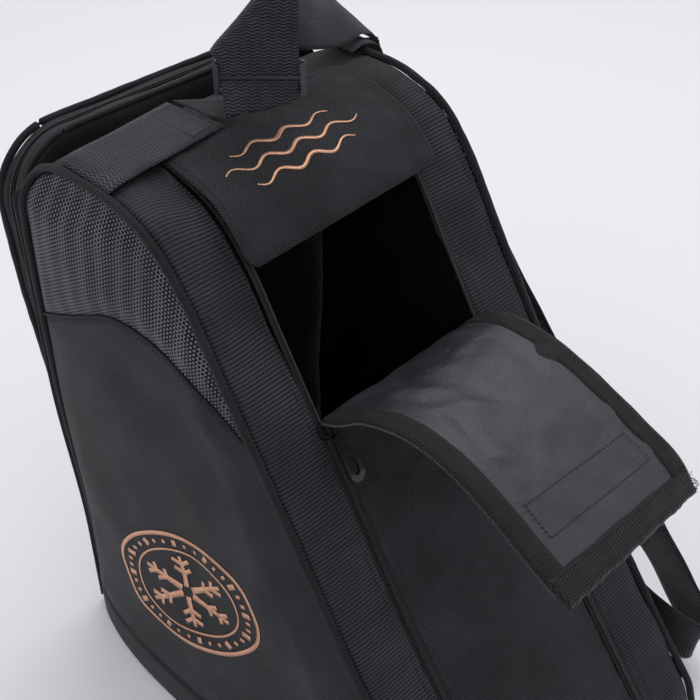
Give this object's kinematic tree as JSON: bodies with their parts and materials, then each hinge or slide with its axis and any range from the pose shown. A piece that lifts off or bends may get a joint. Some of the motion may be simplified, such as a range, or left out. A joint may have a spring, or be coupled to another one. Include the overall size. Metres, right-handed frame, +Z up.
{
  "type": "skate bag",
  "caption": "Boot-shaped padded skate bag in black fabric with an open zipped front door, a top flap, a zipped rear cover and an adjustable webbing shoulder strap",
  "frame": {"origin": "on the floor under the middle of the base, midway between the two sides", "axes": "+X to the bag's right, -Y to its toe and open front door, +Z up"},
  "size_m": [0.3355, 0.4387, 0.5263],
  "materials": {
    "woven_polyester": "black 600-denier woven polyester, padded, slight sheen",
    "sandwich_mesh": "black ribbed sandwich mesh",
    "black_lining": "plain black lining cloth",
    "coated_lining": "dark grey coated lining, semi-gloss, creased",
    "webbing": "black woven polypropylene webbing",
    "coil_zip": "black nylon coil zip and its woven tape",
    "black_metal": "gloss black zip slider and pull",
    "moulded_plastic": "dark grey moulded plastic, satin",
    "rose_gold_foil": "rose gold foil print, metallic",
    "stiffener_board": "dark stiffening board under the lining"
  },
  "bodies": {
    "root": {"top_panel": "woven_polyester", "front_panel": "woven_polyester", "left_gusset": "woven_polyester", "left_gusset_zip": "coil_zip", "left_panel_zip": "coil_zip", "left_piping": "woven_polyester", "right_gusset": "woven_polyester", "right_gusset_zip": "coil_zip", "right_panel_zip": "coil_zip", "right_piping": "woven_polyester", "flap_sewn_edge": "woven_polyester", "left_side_panel": "woven_polyester", "left_mesh_vent": "sandwich_mesh", "left_base_band": "woven_polyester", "left_lining": "black_lining", "right_side_panel": "woven_polyester", "right_mesh_vent": "sandwich_mesh", "right_base_band": "woven_polyester", "right_lining": "black_lining", "base_panel": "woven_polyester", "base_board": "stiffener_board", "back_panel": "woven_polyester", "pocket_gusset": "woven_polyester", "pocket_zip": "coil_zip", "left_strap_anchor": "webbing", "strap_slack": "webbing", "strap_arch": "webbing", "right_strap_anchor": "webbing", "tri_glide": "moulded_plastic", "left_emblem": "rose_gold_foil"},
    "front_door": {"front_door": "coated_lining", "left_door_zip": "coil_zip", "right_door_zip": "coil_zip", "door_hook_band": "webbing", "door_hook_patch": "webbing"},
    "top_flap": {"print_flap": "woven_polyester", "flap_loop_patch": "webbing"},
    "rear_cover": {"cover_gusset": "woven_polyester", "cover_piping": "woven_polyester", "rear_cover": "woven_polyester"},
    "left_slider": {"left_slider": "black_metal"},
    "left_pull": {"left_pull": "black_metal"},
    "right_slider": {"right_slider": "black_metal"},
    "right_pull": {"right_pull": "black_metal"},
    "rear_slider": {"rear_slider": "black_metal"},
    "rear_pull": {"rear_pull": "black_metal"},
    "strap_loop": {"strap_loop": "webbing"}
  },
  "joints": [
    {"name": "door_fold", "type": "hinge", "parent": "root", "child": "front_door", "pos_m": [0, -0.0176, 0.294], "axis": [1, 0, 0], "range_deg": [-90, 20]},
    {"name": "flap_lift", "type": "hinge", "parent": "root", "child": "top_flap", "pos_m": [0, 0.1003, 0.424], "axis": [-1, 0, 0], "range_deg": [0, 40]},
    {"name": "rear_cover_open", "type": "hinge", "parent": "root", "child": "rear_cover", "pos_m": [0, 0.1975, 0.0617], "axis": [-1, 0, 0], "range_deg": [0, 50]},
    {"name": "left_slider_run", "type": "slide", "parent": "root", "child": "left_slider", "axis": [0, -0.5342, -0.8453], "range_m": [0, 0.1]},
    {"name": "right_slider_run", "type": "slide", "parent": "root", "child": "right_slider", "axis": [0, -0.5342, -0.8453], "range_m": [0, 0.1]},
    {"name": "rear_slider_run", "type": "slide", "parent": "root", "child": "rear_slider", "axis": [0.0635, 0, 0.998], "range_m": [0, 0.15]},
    {"name": "left_pull_swing", "type": "hinge", "parent": "left_slider", "child": "left_pull", "pos_m": [-0.0732, -0.0298, 0.2886], "axis": [-1, 0, 0], "range_deg": [0, 90]},
    {"name": "right_pull_swing", "type": "hinge", "parent": "right_slider", "child": "right_pull", "pos_m": [0.0732, -0.0298, 0.2886], "axis": [-1, 0, 0], "range_deg": [0, 90]},
    {"name": "rear_pull_swing", "type": "hinge", "parent": "rear_slider", "child": "rear_pull", "pos_m": [0.1253, 0.1987, 0.0825], "axis": [0, -1, 0], "range_deg": [0, 90]},
    {"name": "strap_loop_swing", "type": "hinge", "parent": "root", "child": "strap_loop", "pos_m": [0.1495, 0.172, 0.413], "axis": [0, -1, 0], "range_deg": [0, 40]}
  ]
}
